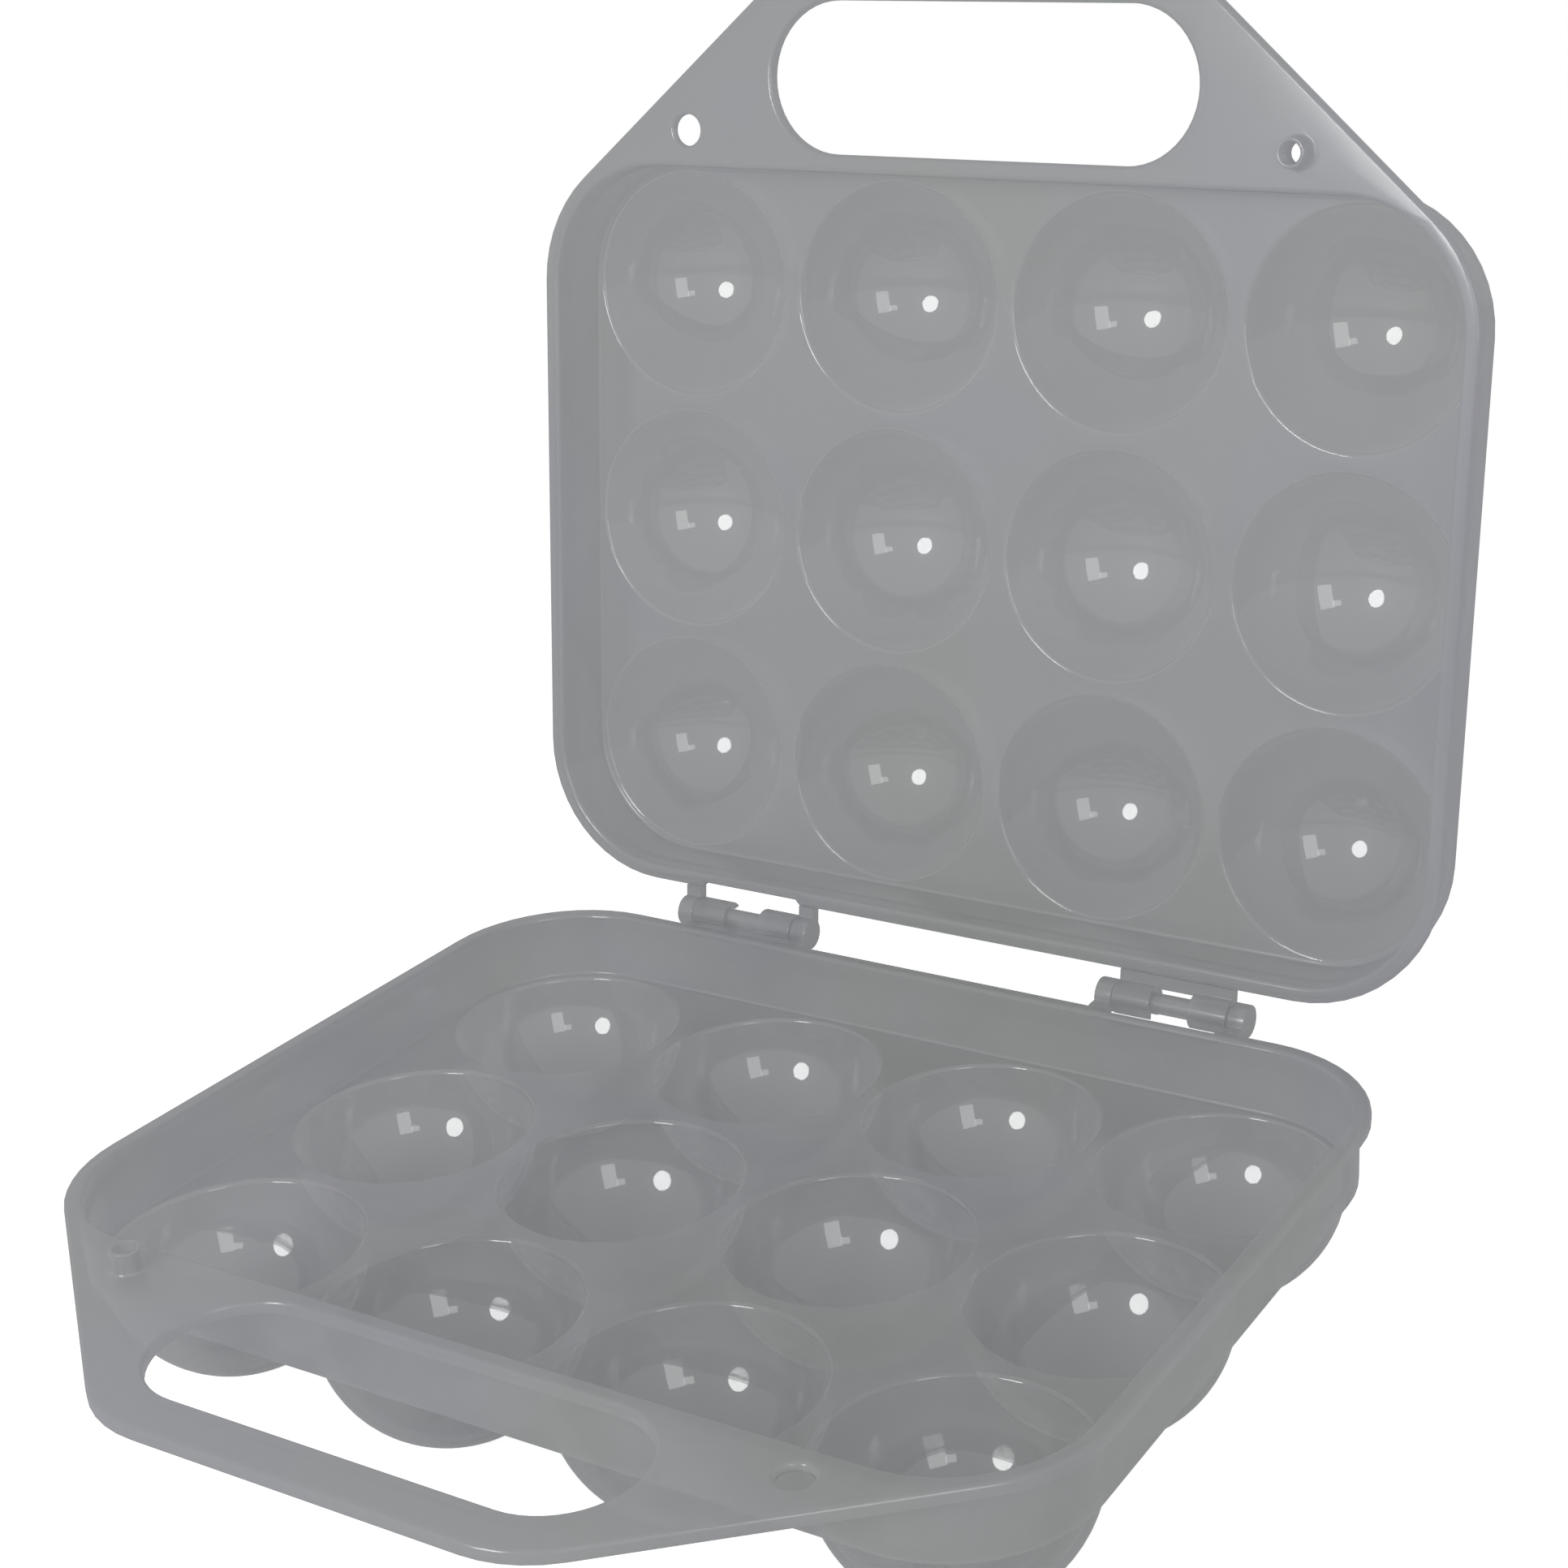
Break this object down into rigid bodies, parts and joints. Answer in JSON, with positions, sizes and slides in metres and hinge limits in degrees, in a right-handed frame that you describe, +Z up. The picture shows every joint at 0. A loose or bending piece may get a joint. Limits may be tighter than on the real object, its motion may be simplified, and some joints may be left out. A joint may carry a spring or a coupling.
{
  "type": "egg keeper",
  "caption": "Clear plastic egg keeper: a tray of rounded cups with a matching hinged lid, a snap catch and a slotted carrying handle on each half.",
  "frame": {"origin": "on the table, under the middle of the open keeper's bounding box", "axes": "+X right along the hinge, +Y from the handle of the lower half to the hinge, +Z up"},
  "size_m": [0.1978, 0.2442, 0.2255],
  "materials": {
    "clear_plastic": "see-through natural polypropylene, milky, semi-gloss"
  },
  "bodies": {
    "base": {"base_floor": "clear_plastic", "base_front_cups": "clear_plastic", "base_middle_cups": "clear_plastic", "base_rear_cups": "clear_plastic", "base_wall": "clear_plastic", "base_rim": "clear_plastic", "base_handle": "clear_plastic", "base_snap_stud": "clear_plastic", "base_hinge_arms": "clear_plastic", "base_hinge_pins": "clear_plastic", "base_hinge_hooks": "clear_plastic"},
    "lid": {"lid_floor": "clear_plastic", "lid_front_cups": "clear_plastic", "lid_middle_cups": "clear_plastic", "lid_rear_cups": "clear_plastic", "lid_wall": "clear_plastic", "lid_rim": "clear_plastic", "lid_handle": "clear_plastic", "lid_snap_stud": "clear_plastic", "lid_hinge_arms": "clear_plastic", "lid_hinge_pins": "clear_plastic", "lid_hinge_hooks": "clear_plastic"}
  },
  "joints": [
    {"name": "lid_hinge", "type": "hinge", "parent": "base", "child": "lid", "pos_m": [0, 0.06915, 0.03585], "axis": [-1, 0, 0], "range_deg": [-97.5, 82]}
  ]
}
